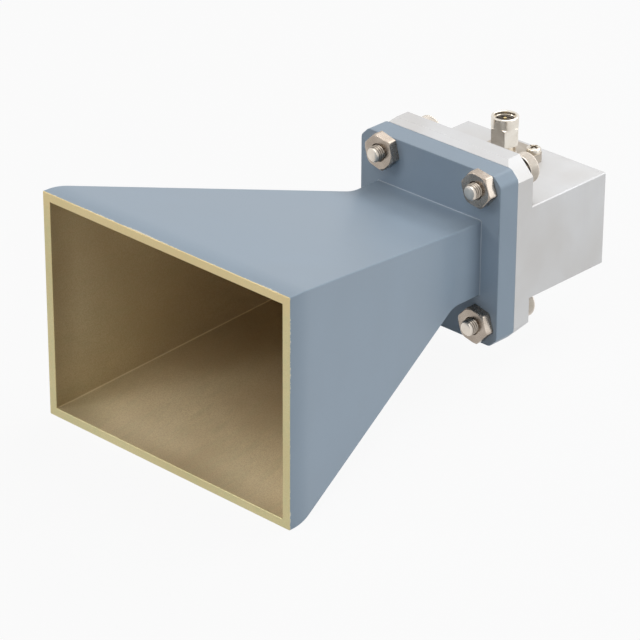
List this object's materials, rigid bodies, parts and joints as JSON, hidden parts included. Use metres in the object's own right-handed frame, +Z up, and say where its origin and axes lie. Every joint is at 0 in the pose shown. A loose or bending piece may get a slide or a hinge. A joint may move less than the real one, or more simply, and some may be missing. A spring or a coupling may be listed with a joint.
{
  "type": "horn antenna with waveguide to coaxial adapter",
  "caption": "Painted pyramidal horn bolted to a machined aluminium waveguide adapter with a threaded coaxial plug on top.",
  "frame": {"origin": "centre of the bottom of the bounding box, at the level of the horn mouth's lower edge", "axes": "+Y along the guide from the horn's mouth to the adapter's closed back, +X across the guide's wide side, +Z up along the coaxial connector"},
  "size_m": [0.0936, 0.1522, 0.0688],
  "materials": {
    "blue_paint": "semi-gloss blue-grey paint on cast aluminium, yellow chromate rim and inside",
    "bare_aluminium": "fine milled, satin",
    "screw_steel": "satin with a knurled head",
    "nut_steel": "bright",
    "connector_steel": "bright turned",
    "gold_plate": "gold plated",
    "white_plastic": "matte",
    "soft_rubber": "matte"
  },
  "bodies": {
    "adapter": {"horn": "blue_paint", "adapter_body": "bare_aluminium", "flange_screws": "screw_steel", "lock_washers": "screw_steel", "flange_nuts": "nut_steel", "connector_body": "connector_steel", "connector_screws": "connector_steel", "retaining_ring": "gold_plate", "centre_contact": "gold_plate", "connector_insulator": "white_plastic", "sealing_gasket": "soft_rubber"},
    "coupling": {"coupling_nut": "connector_steel"}
  },
  "joints": [
    {"name": "coupling_nut_spin", "type": "hinge", "parent": "adapter", "child": "coupling", "pos_m": [0, 0.0616, 0.0581], "axis": [0, 0, 1], "continuous": true}
  ]
}
